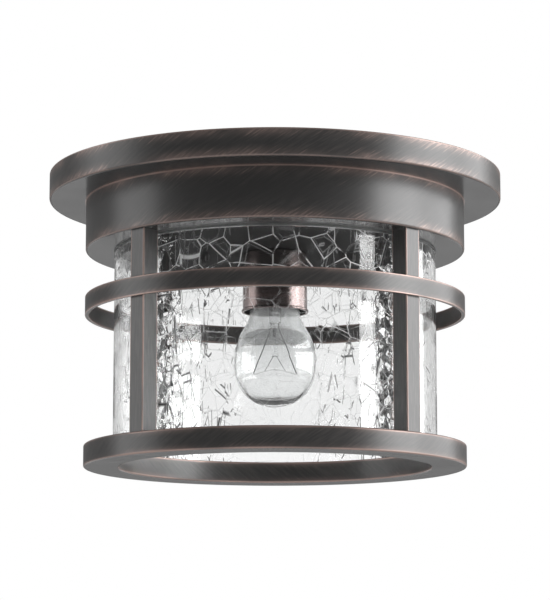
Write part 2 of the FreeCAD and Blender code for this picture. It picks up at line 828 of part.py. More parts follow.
# ---- write every node ---------------------------------------------------------------------------
def main():
    os.makedirs("parts", exist_ok=True)
    save("ceiling_pan", ceiling_pan())
    save("rim_gasket", rim_gasket())
    save("drum_shell", drum_shell())
    save("mounting_strap", mounting_strap())
    save("fixture_studs", at_studs(fixture_stud))
    save("stud_lock_nuts", at_studs(stud_lock_nut))
    save("seal_washers", at_studs(seal_washer))
    save("cap_nuts", at_studs(cap_nut))
    save("ground_screw", ground_screw())

    post_names = ("post_back_right", "post_back_left", "post_front_left", "post_front_right")
    for name, angle in zip(post_names, post_angles()):
        save(name, turned_about_z(post(), angle))
    save("post_end_plugs", post_end_plugs())
    save("ring_studs", at_posts(ring_stud()))
    save("post_screw_washers", at_posts(post_screw_washer()))
    save("post_top_screws", at_posts(post_top_screw()))
    save("mid_band", mid_band())
    save("bottom_ring", bottom_ring())

    save("glass_cylinder", glass_cylinder())
    save("glass_top_gasket", glass_gasket(glass_top_z, drum_floor_z))
    save("glass_bottom_gasket", glass_gasket(groove_floor_z, glass_bottom_z))

    save("socket_cup", socket_cup())
    save("socket_body", socket_body())
    save("socket_mounting_screws", socket_mounting_screws())
    save("socket_screw_shell", socket_screw_shell())
    save("socket_centre_contact", socket_centre_contact())
    save("socket_rivets", socket_rivets())
    save("socket_terminals", socket_terminals())
    save("terminal_screws", terminal_screws())

    save("bulb_centre_contact", bulb_centre_contact())
    save("bulb_cap_insulator", bulb_cap_insulator())
    save("bulb_screw_cap", bulb_screw_cap())
    save("bulb_cap_cement", bulb_cap_cement())
    save("bulb_glass", bulb_glass())
    save("bulb_stem", bulb_stem())
    save("bulb_lead_wires", bulb_lead_wires())
    save("bulb_support_wires", bulb_support_wires())
    save("bulb_filament", bulb_filament())


main()
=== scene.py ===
"""Looks of a porch ceiling lantern: rubbed bronze canopy and cage, crackle glass, clear lamp.

Metres, +Z up, the ceiling at z = 0, the viewer in front at -Y.
"""

import math

import bpy
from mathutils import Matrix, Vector


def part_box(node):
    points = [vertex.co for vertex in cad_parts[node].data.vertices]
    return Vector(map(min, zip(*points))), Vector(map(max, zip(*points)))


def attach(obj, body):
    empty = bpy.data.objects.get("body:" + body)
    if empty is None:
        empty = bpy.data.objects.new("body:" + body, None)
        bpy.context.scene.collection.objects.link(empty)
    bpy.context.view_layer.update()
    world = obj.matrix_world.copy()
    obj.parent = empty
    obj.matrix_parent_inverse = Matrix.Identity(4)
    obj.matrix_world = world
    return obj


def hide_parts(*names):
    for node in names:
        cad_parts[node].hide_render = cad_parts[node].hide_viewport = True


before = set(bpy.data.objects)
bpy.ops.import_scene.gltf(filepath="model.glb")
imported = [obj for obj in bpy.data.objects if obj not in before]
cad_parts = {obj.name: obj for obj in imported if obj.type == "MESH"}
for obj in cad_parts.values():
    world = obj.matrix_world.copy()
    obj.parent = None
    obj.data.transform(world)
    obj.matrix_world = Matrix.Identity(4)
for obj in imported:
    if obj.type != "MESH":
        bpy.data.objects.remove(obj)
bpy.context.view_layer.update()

scene = bpy.context.scene
MM = 0.001


# ---- small helpers for node trees -------------------------------------------------------------
def put(tree, kind, inputs=None, **choices):
    """Add a node, make its choices, then fill or link its inputs by name or number."""
    made = tree.nodes.new(kind)
    for name, value in choices.items():
        setattr(made, name, value)
    for key, value in (inputs or {}).items():
        if isinstance(value, bpy.types.NodeSocket):
            tree.links.new(value, made.inputs[key])
        else:
            made.inputs[key].default_value = value
    return made


def calc(tree, operation, *values, clamp=False):
    inputs = dict(enumerate(values))
    return put(tree, "ShaderNodeMath", inputs, operation=operation, use_clamp=clamp).outputs[0]


def vector_calc(tree, operation, *values):
    inputs = dict(enumerate(values))
    made = put(tree, "ShaderNodeVectorMath", inputs, operation=operation)
    return made.outputs["Value"] if operation in ("LENGTH", "DISTANCE", "DOT_PRODUCT") else made.outputs[0]


def remap(tree, value, from_low, from_high, to_low=0.0, to_high=1.0):
    """A smooth, clamped change of range; the two ends of the old range may be swapped."""
    inputs = {
        "Value": value, "From Min": from_low, "From Max": from_high, "To Min": to_low, "To Max": to_high}
    return put(tree, "ShaderNodeMapRange", inputs, interpolation_type="SMOOTHSTEP").outputs[0]


def xyz(tree, x, y, z):
    return put(tree, "ShaderNodeCombineXYZ", {0: x, 1: y, 2: z}).outputs[0]


def mixed_colour(tree, share, first, second):
    made = put(tree, "ShaderNodeMix", {0: share, 6: first, 7: second}, data_type="RGBA")
    return made.outputs[2]


def noise(tree, vector, scale, detail=2.0, roughness=0.5):
    inputs = {"Vector": vector, "Scale": scale, "Detail": detail, "Roughness": roughness}
    return put(tree, "ShaderNodeTexNoise", inputs).outputs[0]


def new_material(name):
    material = bpy.data.materials.new(name)
    material.use_nodes = True
    material.node_tree.nodes.clear()
    return material, material.node_tree


def finish_material(tree, shader):
    put(tree, "ShaderNodeOutputMaterial", {"Surface": shader})


def object_place(tree):
    return put(tree, "ShaderNodeTexCoord").outputs["Object"]


def principled(tree, inputs):
    return put(tree, "ShaderNodeBsdfPrincipled", inputs).outputs[0]


# ---- rubbed bronze ----------------------------------------------------------------------------
BRONZE_DARK = (0.030, 0.029, 0.029, 1)
BRONZE_WORN = (0.052, 0.048, 0.046, 1)
RUBBED_COPPER = (0.36, 0.26, 0.23, 1)
# Painted shade: a flat near-black with little gloss for the drum's floor inside the glass, where shade falls.
PAINTED_SHADE_DARK = (0.010, 0.010, 0.010, 1)
PAINTED_SHADE_PALE = (0.019, 0.018, 0.018, 1)
PAINT_GLOSS = 0.62
PAINTED_SHADE_GLOSS = 0.20
PAINTED_SHADE_ROUGHNESS = 0.75


def rubbed_bronze(tree, edge_distance, streak_place, line_width, streak_reach, streak_strength,
                  level_gloss=PAINT_GLOSS):
    """Dark satin paint with copper showing on the edges and in slanted brush streaks beside them.

    Only the upright faces were brushed. The level ones are smoother, with a gloss of their own.
    """
    place = object_place(tree)
    normal = put(tree, "ShaderNodeSeparateXYZ", {0: put(tree, "ShaderNodeTexCoord").outputs["Normal"]})
    upright = remap(tree, calc(tree, "ABSOLUTE", normal.outputs[2]), 0.75, 0.45)
    cloud = noise(tree, place, 26.0, 3.0)
    patch = noise(tree, place, 20.0, 1.0)
    streak = noise(tree, streak_place, 1.0, 3.0, 0.66)
    fine = noise(tree, place, 2300.0, 2.0)

    uneven = calc(tree, "MULTIPLY_ADD", streak, 0.9 * MM, edge_distance)
    width = calc(tree, "MULTIPLY_ADD", calc(tree, "MULTIPLY", upright, patch), line_width, 1.6 * MM)
    rubbed = remap(tree, uneven, width, calc(tree, "MULTIPLY", width, 0.4))
    line = calc(tree, "MULTIPLY", rubbed, remap(tree, patch, 0.34, 0.52, 0.65, 1.0))

    near_edge = remap(tree, edge_distance, streak_reach, 0.0)
    wear = calc(tree, "MULTIPLY", near_edge, remap(tree, patch, 0.38, 0.60, 0.45, 1.0))
    threshold = calc(tree, "MULTIPLY_ADD", wear, -0.31, 0.68)
    over = calc(tree, "SUBTRACT", streak, threshold)
    bite = calc(tree, "MULTIPLY", upright, streak_strength)
    scraped = calc(tree, "MULTIPLY", remap(tree, over, 0.0, 0.26), bite)
    haze = calc(tree, "MULTIPLY", calc(tree, "MULTIPLY", wear, wear), calc(tree, "MULTIPLY", upright, 0.30))
    copper = calc(tree, "MAXIMUM", calc(tree, "MAXIMUM", line, scraped), haze)

    brushed = calc(tree, "MULTIPLY", upright, remap(tree, edge_distance, 17 * MM, 6 * MM, 0.25, 1.0))
    stroke = calc(tree, "MULTIPLY", remap(tree, streak, 0.40, 0.64), brushed)
    paint = mixed_colour(tree, stroke, BRONZE_DARK, BRONZE_WORN)
    satin = calc(tree, "MULTIPLY_ADD", upright, 0.15, 0.15)
    height = calc(tree, "MULTIPLY", calc(tree, "MULTIPLY_ADD", streak, 0.6, fine), brushed)
    bump = put(tree, "ShaderNodeBump", {"Strength": 0.30, "Distance": 0.05 * MM, "Height": height})
    gloss = PAINT_GLOSS
    if level_gloss != PAINT_GLOSS:
        gloss = remap(tree, upright, 0.0, 1.0, level_gloss, PAINT_GLOSS)
    return {
        "Base Color": mixed_colour(tree, copper, paint, RUBBED_COPPER),
        "Roughness": calc(tree, "MULTIPLY_ADD", remap(tree, cloud, 0.3, 0.7), 0.05, satin),
        "Metallic": calc(tree, "MULTIPLY", copper, 0.6),
        "Specular IOR Level": gloss,
        "Normal": bump.outputs[0],
    }


def with_painted_shade(tree, finish, share):
    """The given finish where share is 0, and painted shade, a flat speckled near-black, where it is 1."""
    speck = noise(tree, object_place(tree), 500.0, 3.0)
    shade_tone = mixed_colour(tree, speck, PAINTED_SHADE_DARK, PAINTED_SHADE_PALE)
    matt = calc(tree, "MULTIPLY", share, PAINTED_SHADE_ROUGHNESS)
    less_gloss = PAINTED_SHADE_GLOSS - PAINT_GLOSS
    return {
        **finish,
        "Base Color": mixed_colour(tree, share, finish["Base Color"], shade_tone),
        "Roughness": calc(tree, "MAXIMUM", finish["Roughness"], matt),
        "Specular IOR Level": calc(tree, "MULTIPLY_ADD", share, less_gloss, finish["Specular IOR Level"]),
    }


def round_bronze(name, radius, edges, line_width=0.8 * MM, streak_reach=11 * MM, streak_strength=0.75,
                 level_gloss=PAINT_GLOSS, painted_shade_radius=None):
    """Rubbed bronze for a turned piece; edges are the (radius, height) circles that are rubbed.

    Nearer the axis than the given shade radius it is flat near-black: painted shade inside the glass.
    """
    material, tree = new_material(name)
    place = object_place(tree)
    parts = put(tree, "ShaderNodeSeparateXYZ", {0: place})
    out = vector_calc(tree, "LENGTH", xyz(tree, parts.outputs[0], parts.outputs[1], 0.0))
    section = xyz(tree, out, parts.outputs[2], 0.0)
    distance = 1.0
    for edge_radius, height in edges:
        one = vector_calc(tree, "DISTANCE", section, (edge_radius, height, 0.0))
        distance = calc(tree, "MINIMUM", distance, one)
    lean = calc(tree, "DIVIDE", parts.outputs[2], -0.65 * radius)
    leaned = put(tree, "ShaderNodeVectorRotate", {"Vector": place, "Angle": lean}, rotation_type="Z_AXIS")
    streak_place = vector_calc(tree, "MULTIPLY", leaned.outputs[0], (800.0, 800.0, 105.0))
    finish = rubbed_bronze(
        tree, distance, streak_place, line_width, streak_reach, streak_strength, level_gloss)
    # Painted shade: inside the glass the drum's floor is darkened to flat near-black.
    if painted_shade_radius is not None:
        finish = with_painted_shade(tree, finish, calc(tree, "LESS_THAN", out, painted_shade_radius))
    finish_material(tree, principled(tree, finish))
    return material


def post_bronze(name, angle, centre_radius, half_width):
    """Rubbed bronze for a square post: only its upright edges are rubbed."""
    material, tree = new_material(name)
    turn = put(tree, "ShaderNodeMapping", {"Vector": object_place(tree), "Rotation": (0, 0, -angle)})
    parts = put(tree, "ShaderNodeSeparateXYZ", {0: turn.outputs[0]})
    across = []
    for value, middle in ((parts.outputs[0], centre_radius), (parts.outputs[1], 0.0)):
        off = calc(tree, "ABSOLUTE", calc(tree, "SUBTRACT", value, middle))
        across.append(calc(tree, "SUBTRACT", off, half_width))
    distance = vector_calc(tree, "LENGTH", xyz(tree, across[0], across[1], 0.0))
    streak_place = vector_calc(tree, "MULTIPLY", turn.outputs[0], (900.0, 900.0, 60.0))
    finish = rubbed_bronze(
        tree, distance, streak_place, line_width=0.3 * MM, streak_reach=2.5 * MM, streak_strength=0.5)
    finish_material(tree, principled(tree, finish))
    return material


# ---- other finishes ---------------------------------------------------------------------------
def speckled(name, colour, other, scale, roughness, metallic=0.0, bump=0.05 * MM, coat=0.0):
    """A finish whose colour and roughness wander a little between two tones."""
    material, tree = new_material(name)
    place = object_place(tree)
    wander = noise(tree, place, scale, 3.0)
    grain = noise(tree, place, scale * 9, 2.0)
    tone = mixed_colour(tree, remap(tree, wander, 0.3, 0.7), colour, other)
    rough = calc(tree, "MULTIPLY_ADD", wander, 0.16, roughness - 0.08)
    relief = put(tree, "ShaderNodeBump", {"Strength": 0.4, "Distance": bump, "Height": grain})
    finish_material(tree, principled(tree, {
        "Base Color": tone, "Roughness": rough, "Metallic": metallic, "Normal": relief.outputs[0],
        "Coat Weight": coat,
    }))
    return material


def brushed_cup_metal():
    """Copper-brown lacquered metal with fine lines brushed round it."""
    material, tree = new_material("brushed copper-brown cup")
    place = object_place(tree)
    lines = noise(tree, vector_calc(tree, "MULTIPLY", place, (40.0, 40.0, 3600.0)), 1.0, 3.0)
    cloud = noise(tree, place, 60.0, 2.0)
    tone = mixed_colour(tree, lines, (0.175, 0.140, 0.135, 1), (0.265, 0.217, 0.210, 1))
    tone = mixed_colour(tree, remap(tree, cloud, 0.45, 0.8, 0.0, 0.4), tone, (0.24, 0.17, 0.155, 1))
    relief = put(tree, "ShaderNodeBump", {"Strength": 0.15, "Distance": 0.02 * MM, "Height": lines})
    rough = calc(tree, "MULTIPLY_ADD", lines, 0.08, 0.20)
    finish_material(tree, principled(tree, {
        "Base Color": tone, "Roughness": rough, "Metallic": 1.0, "Normal": relief.outputs[0],
    }))
    return material


LAMP_GLASS_SHADE = (0.93, 0.94, 0.94, 1)
CRACKLE_GLASS_SHADE = (0.80, 0.81, 0.81, 1)


def glass_with(tree, inputs, shade):
    """Clear glass that casts no dark shadow: light through it is only dimmed to the shade."""
    glass = principled(tree, {"Roughness": 0.0, "IOR": 1.5, **inputs})
    through = put(tree, "ShaderNodeBsdfTransparent", {"Color": shade}).outputs[0]
    in_shadow = put(tree, "ShaderNodeLightPath").outputs["Is Shadow Ray"]
    return put(tree, "ShaderNodeMixShader", {0: in_shadow, 1: glass, 2: through}).outputs[0]


def bulb_glass_material(haze_highlight_bottom, haze_highlight_top):
    """Blown glass, greyed at its outline by painted shade, with a faint white haze that grows towards the
    neck as a painted highlight.
    """
    material, tree = new_material("clear bulb glass")
    place = object_place(tree)
    parts = put(tree, "ShaderNodeSeparateXYZ", {0: place})
    waves = noise(tree, place, 60.0, 1.5)
    relief = put(tree, "ShaderNodeBump", {"Strength": 0.5, "Distance": 0.02 * MM, "Height": waves})
    # Painted shade: the base colour turns grey where the wall is seen edge-on, for the lamp's darker outline.
    facing = put(tree, "ShaderNodeLayerWeight", {"Blend": 0.5}).outputs["Facing"]
    outline_shade = remap(tree, facing, 0.70, 0.88)
    # Painted highlight: a white haze, thicker towards the neck, where the lamp looks bright.
    haze_highlight = remap(tree, parts.outputs[2], haze_highlight_bottom, haze_highlight_top, 0.02, 0.20)
    uneven = calc(tree, "MULTIPLY", haze_highlight, calc(tree, "MULTIPLY_ADD", waves, 0.4, 0.8))
    finish_material(tree, glass_with(tree, {
        "Base Color": mixed_colour(tree, outline_shade, (0.99, 0.995, 0.995, 1), (0.42, 0.425, 0.43, 1)),
        "Transmission Weight": calc(tree, "SUBTRACT", 1.0, uneven),
        "Normal": relief.outputs[0],
    }, LAMP_GLASS_SHADE))
    return material


def stem_glass_material(plug_bottom, plug_top):
    """The lamp's inner glass stem, with a short dark plug sealed into its rod."""
    material, tree = new_material("clear stem glass")
    place = object_place(tree)
    parts = put(tree, "ShaderNodeSeparateXYZ", {0: place})
    waves = noise(tree, place, 300.0, 1.5)
    relief = put(tree, "ShaderNodeBump", {"Strength": 0.5, "Distance": 0.03 * MM, "Height": waves})
    middle = (plug_bottom + plug_top) / 2
    from_middle = calc(tree, "ABSOLUTE", calc(tree, "SUBTRACT", parts.outputs[2], middle))
    plug = calc(tree, "LESS_THAN", from_middle, (plug_top - plug_bottom) / 2)
    finish_material(tree, glass_with(tree, {
        "Base Color": mixed_colour(tree, plug, (0.97, 0.98, 0.98, 1), (0.02, 0.019, 0.019, 1)),
        "Transmission Weight": calc(tree, "SUBTRACT", 1.0, plug),
        "Roughness": calc(tree, "MULTIPLY", plug, 0.4),
        "Normal": relief.outputs[0],
    }, LAMP_GLASS_SHADE))
    return material


def silicone():
    """Soft translucent rings that seat the cylinder."""
    material, tree = new_material("translucent silicone")
    wander = noise(tree, object_place(tree), 200.0, 2.0)
    tone = mixed_colour(tree, wander, (0.60, 0.61, 0.61, 1), (0.78, 0.79, 0.79, 1))
    rough = calc(tree, "MULTIPLY_ADD", wander, 0.15, 0.3)
    finish_material(tree, principled(tree, {
        "Base Color": tone, "Roughness": rough, "IOR": 1.41, "Transmission Weight": 0.85}))
    return material


def cell_edges(tree, place, scale, width, evenness=1.0):
    """1 on the edges of polygonal cells, fading to 0 at the given distance from them, in metres."""
    inputs = {"Vector": place, "Scale": scale, "Randomness": evenness}
    cells = put(tree, "ShaderNodeTexVoronoi", inputs, feature="DISTANCE_TO_EDGE")
    return remap(tree, cells.outputs["Distance"], 0.0, width * scale, 1.0, 0.0)


def cell_tilt(tree, place, scale, slope, evenness=1.0):
    """A height, in metres, that tilts each polygonal cell its own way by up to the slope."""
    inputs = {"Vector": place, "Scale": scale, "Randomness": evenness}
    cells = put(tree, "ShaderNodeTexVoronoi", inputs, feature="F1")
    offset = vector_calc(tree, "SUBTRACT", place, cells.outputs["Position"])
    lean = vector_calc(tree, "SUBTRACT", cells.outputs["Color"], (0.5, 0.5, 0.5))
    return calc(tree, "MULTIPLY", vector_calc(tree, "DOT_PRODUCT", offset, lean), slope * 2)


# The crazing is fainter in a window round the lamp, whose top rises towards the back.
WINDOW_HALF_WIDTH = 24 * MM
WINDOW_SIDE_END = 36 * MM
WINDOW_TOP = -0.106
WINDOW_TOP_END = -0.098
WINDOW_TOP_SLOPE = 0.215

# The pale polygons are weaker low down and full near the canopy.
POLYGONS_WEAK_BELOW = -0.105
POLYGONS_FULL_ABOVE = -0.088


def crackle_material(inner_radius, outer_radius):
    """Glass crazed through its wall: pale polygons, dark splinters painted in as shade, and crushed patches
    by the posts.

    The polygons and the splinters are fewer or fainter in front of and behind the lamp.
    """
    material, tree = new_material("crackle glass")
    place = object_place(tree)
    aside = vector_calc(tree, "ADD", place, (0.31, 0.17, 0.07))
    parts = put(tree, "ShaderNodeSeparateXYZ", {0: place})
    out = vector_calc(tree, "LENGTH", xyz(tree, parts.outputs[0], parts.outputs[1], 0.0))
    outside = remap(tree, out, inner_radius, outer_radius)
    around = calc(tree, "ARCTAN2", parts.outputs[1], parts.outputs[0])
    # -1 at the posts and 1 midway between them
    off_posts = calc(tree, "COSINE", calc(tree, "MULTIPLY", around, 4.0))
    near_posts = remap(tree, off_posts, 0.10, -0.80)
    by_posts = remap(tree, off_posts, -0.84, -0.95)
    level = calc(tree, "MULTIPLY_ADD", parts.outputs[1], -WINDOW_TOP_SLOPE, parts.outputs[2])
    sideways = calc(tree, "ABSOLUTE", parts.outputs[0])
    beside_lamp = remap(tree, sideways, WINDOW_HALF_WIDTH, WINDOW_SIDE_END)
    over_lamp = remap(tree, level, WINDOW_TOP, WINDOW_TOP_END)
    clear_of_lamp = remap(tree, calc(tree, "MAXIMUM", beside_lamp, over_lamp), 0.0, 1.0, 0.12, 1.0)
    high_up = remap(tree, parts.outputs[2], POLYGONS_WEAK_BELOW, POLYGONS_FULL_ABOVE, 0.5, 1.0)

    polygons = cell_edges(tree, place, 62.0, 0.55 * MM, 0.8)
    whole = remap(tree, noise(tree, aside, 85.0, 2.0), 0.36, 0.48, 0.15, 1.0)
    fainter_inside = remap(tree, outside, 0.0, 1.0, 0.35, 1.0)
    faint = calc(tree, "MULTIPLY", calc(tree, "MULTIPLY", fainter_inside, high_up), clear_of_lamp)
    pale = calc(tree, "MULTIPLY", calc(tree, "MULTIPLY", polygons, whole), faint)

    tall = vector_calc(tree, "MULTIPLY", aside, (1.0, 1.0, 0.26))
    splinters = cell_edges(tree, tall, 96.0, 0.27 * MM)
    crowding = calc(tree, "MULTIPLY_ADD", near_posts, 0.09, noise(tree, place, 105.0, 1.0))
    off_lamp = remap(tree, beside_lamp, 0.0, 1.0, 0.1, 1.0)
    broken = calc(tree, "MULTIPLY", remap(tree, crowding, 0.565, 0.585), off_lamp)
    # Painted shade: the splinters are near-black and nearly opaque, standing in for the dark lines that
    # cracks show by refraction, crowded near the posts.
    painted_splinter_shade = calc(tree, "MULTIPLY", splinters, broken)

    crushed = calc(tree, "MULTIPLY", by_posts, remap(tree, noise(tree, place, 140.0, 1.0), 0.54, 0.57))
    leaning = cell_tilt(tree, place, 62.0, 0.005, 0.8)
    shards = calc(tree, "MULTIPLY", cell_tilt(tree, tall, 170.0, 0.45), crushed)
    height = calc(tree, "ADD", leaning, shards)
    relief = put(tree, "ShaderNodeBump", {"Strength": 1.0, "Distance": 1.0, "Height": height})

    milk_and_shade = calc(tree, "MAXIMUM", calc(tree, "MULTIPLY", pale, 0.45), calc(tree, "MULTIPLY", painted_splinter_shade, 0.95))
    inputs = {
        "Base Color": mixed_colour(tree, painted_splinter_shade, (0.985, 0.988, 0.988, 1), (0.035, 0.035, 0.035, 1)),
        "Roughness": calc(tree, "MULTIPLY", pale, 0.5),
        "Transmission Weight": calc(tree, "SUBTRACT", 1.0, milk_and_shade),
        "Normal": relief.outputs[0],
    }
    finish_material(tree, glass_with(tree, inputs, CRACKLE_GLASS_SHADE))
    return material


# ---- small helpers for geometry trees -----------------------------------------------------------
def new_geometry_tree(name, sizes):
    """A tree with a geometry input, the named sizes, and one geometry output."""
    tree = bpy.data.node_groups.new(name, "GeometryNodeTree")
    tree.interface.new_socket("Geometry", in_out="INPUT", socket_type="NodeSocketGeometry")
    for size_name, socket_type in sizes:
        tree.interface.new_socket(size_name, in_out="INPUT", socket_type=socket_type)
    tree.interface.new_socket("Geometry", in_out="OUTPUT", socket_type="NodeSocketGeometry")
    return tree, tree.nodes.new("NodeGroupInput").outputs


def end_geometry_tree(tree, shape, material):
    real = put(tree, "GeometryNodeRealizeInstances", {0: shape})
    dressed = put(tree, "GeometryNodeSetMaterial", {"Geometry": real.outputs[0], "Material": material})
    put(tree, "NodeGroupOutput", {0: dressed.outputs[0]})


def soften(tree, mesh, sharp_angle):
    """Smooth shading, apart from the edges that turn by more than the angle."""
    smooth = put(tree, "GeometryNodeSetShadeSmooth", {0: mesh, 2: True}, domain="FACE")
    angle = put(tree, "GeometryNodeInputMeshEdgeAngle").outputs[0]
    sharp = calc(tree, "GREATER_THAN", angle, sharp_angle)
    edges = put(tree, "GeometryNodeSetShadeSmooth", {0: smooth.outputs[0], 1: sharp, 2: False}, domain="EDGE")
    return edges.outputs[0]


def merged(tree, mesh, distance):
    return put(tree, "GeometryNodeMergeByDistance", {"Geometry": mesh, "Distance": distance}).outputs[0]


def grown(name, start, tree, sizes, node_names, body):
    """Run a geometry tree on start, keep the result as a plain mesh, and put it in the CAD's place."""
    holder = bpy.data.objects.new(name + "_start", start)
    scene.collection.objects.link(holder)
    modifier = holder.modifiers.new("shape", "NODES")
    modifier.node_group = tree
    for item in tree.interface.items_tree:
        if item.in_out == "INPUT" and item.name in sizes:
            modifier[item.identifier] = sizes[item.name]
    depsgraph = bpy.context.evaluated_depsgraph_get()
    mesh = bpy.data.meshes.new_from_object(holder.evaluated_get(depsgraph), depsgraph=depsgraph)
    mesh.name = name
    bpy.data.objects.remove(holder)
    piece = bpy.data.objects.new(name, mesh)
    scene.collection.objects.link(piece)
    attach(piece, body)
    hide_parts(*node_names)


# ---- turned pieces ------------------------------------------------------------------------------
AXIS_RADIUS = 0.01 * MM
SUPPORT = 0.3 * MM


def with_supports(corners):
    """Add points on the flats just beside the rounded corners, which keep the flats' shading flat."""
    supported = []
    for start, end in zip(corners, corners[1:] + corners[:1]):
        supported.append(start)
        length = math.hypot(end[0] - start[0], end[1] - start[1])
        near, far = start[2] + SUPPORT, length - end[2] - SUPPORT
        if start[2] + end[2] > 0 and far > near:
            for along in (near, far):
                share = along / length
                supported.append((
                    start[0] + (end[0] - start[0]) * share, start[1] + (end[1] - start[1]) * share, 0))
    return supported


def section_curve(name, corners):
    """A closed (radius, height, corner radius) section as a curve for the turning tree."""
    area = 0.0
    for (r1, z1, _), (r2, z2, _) in zip(corners, corners[1:] + corners[:1]):
        area += r1 * z2 - r2 * z1
    if area > 0:
        corners = corners[::-1]
    curve = bpy.data.curves.new(name, "CURVE")
    curve.dimensions = "3D"
    spline = curve.splines.new("POLY")
    spline.points.add(len(corners) - 1)
    for point, (radius, height, rounding) in zip(spline.points, corners):
        point.co = (radius - AXIS_RADIUS, -height, 0, 1)
        point.radius = rounding
    spline.use_cyclic_u = True
    return curve


def turning_tree():
    """Rounds the corners of a section and sweeps it once round the upright axis."""
    tree, given = new_geometry_tree("turned piece", (
        ("Segments", "NodeSocketInt"), ("Corner Steps", "NodeSocketInt"), ("Axis Radius", "NodeSocketFloat"),
        ("Material", "NodeSocketMaterial")))
    rounding = put(tree, "GeometryNodeInputRadius").outputs[0]
    section = put(tree, "GeometryNodeFilletCurve", {
        "Curve": given["Geometry"], "Radius": rounding, "Count": given["Corner Steps"], "Limit Radius": True,
    }, mode="POLY")
    path = put(tree, "GeometryNodeCurvePrimitiveCircle", {
        "Resolution": given["Segments"], "Radius": given["Axis Radius"]}, mode="RADIUS")
    swept = put(tree, "GeometryNodeCurveToMesh", {
        "Curve": path.outputs[0], "Profile Curve": section.outputs[0]})
    closed = merged(tree, swept.outputs[0], 0.001 * MM)
    end_geometry_tree(tree, soften(tree, closed, math.radians(32)), given["Material"])
    return tree


TURNING = turning_tree()


def turned(name, corners, material, nodes, body, segments=192, corner_steps=6):
    sizes = {
        "Segments": segments, "Corner Steps": corner_steps, "Axis Radius": AXIS_RADIUS, "Material": material}
    grown(name, section_curve(name, with_supports(corners)), TURNING, sizes, nodes, body)


# ---- canopy ---------------------------------------------------------------------------------------
SHEET = 1.2 * MM
HEM_HEIGHT = 8 * MM
DRUM_CLEARANCE = 0.05 * MM


def canopy_pan(low, high, drum_radius):
    radius = high.x
    inner = radius - SHEET
    hem = inner - SHEET
    hem_bottom = high.z - HEM_HEIGHT
    hole = drum_radius + DRUM_CLEARANCE
    paint = round_bronze("rubbed bronze, pan", radius, [
        (radius, high.z), (radius, low.z), (hole, low.z)], level_gloss=0.38)
    turned("canopy_pan", [
        (hole, low.z, 0),
        (radius, low.z, 1.9 * MM),
        (radius, high.z, 0.6 * MM),
        (hem, high.z, 0.6 * MM),
        (hem, hem_bottom, 0),
        (inner, hem_bottom, 0),
        (inner, low.z + SHEET, 0.7 * MM),
        (hole, low.z + SHEET, 0),
    ], paint, ["ceiling_pan"], "lantern", segments=256)


def canopy_drum(low, high, barrel_hole, painted_shade_radius):
    radius = high.x
    paint = round_bronze("rubbed bronze, drum", radius, [
        (radius, low.z), (radius, high.z - SHEET)], painted_shade_radius=painted_shade_radius)
    turned("canopy_drum", [
        (barrel_hole, low.z, 0),
        (radius, low.z, 1.8 * MM),
        (radius, high.z, 0),
        (radius - SHEET, high.z, 0),
        (radius - SHEET, low.z + SHEET, 0.6 * MM),
        (barrel_hole, low.z + SHEET, 0),
    ], paint, ["drum_shell"], "lantern", segments=256)


# ---- cage -----------------------------------------------------------------------------------------
def middle_band(low, high, thickness):
    radius = high.x
    inner = radius - thickness
    paint = round_bronze("rubbed bronze, band", radius, [
        (radius, low.z), (radius, high.z), (inner, low.z), (inner, high.z),
    ], streak_reach=6 * MM, streak_strength=0.45)
    turned("middle_band", [
        (inner, low.z, 0.5 * MM),
        (radius, low.z, 0.5 * MM),
        (radius, high.z, 0.5 * MM),
        (inner, high.z, 0.5 * MM),
    ], paint, ["mid_band"], "lantern", segments=256, corner_steps=4)


def bottom_ring(low, high, width, groove):
    radius = high.x
    inner = radius - width
    groove_inner, groove_outer, groove_floor = groove
    paint = round_bronze("rubbed bronze, ring", radius, [
        (radius, low.z), (radius, high.z), (inner, low.z), (inner, high.z),
    ], line_width=2.0 * MM, streak_reach=7 * MM, streak_strength=0.35)
    turned("bottom_ring_casting", [
        (inner, low.z, 1.3 * MM),
        (radius, low.z, 1.3 * MM),
        (radius, high.z, 1.3 * MM),
        (groove_outer, high.z, 0),
        (groove_outer, groove_floor, 0),
        (groove_inner, groove_floor, 0),
        (groove_inner, high.z, 0),
        (inner, high.z, 0.6 * MM),
    ], paint, ["bottom_ring"], "lantern", segments=256)


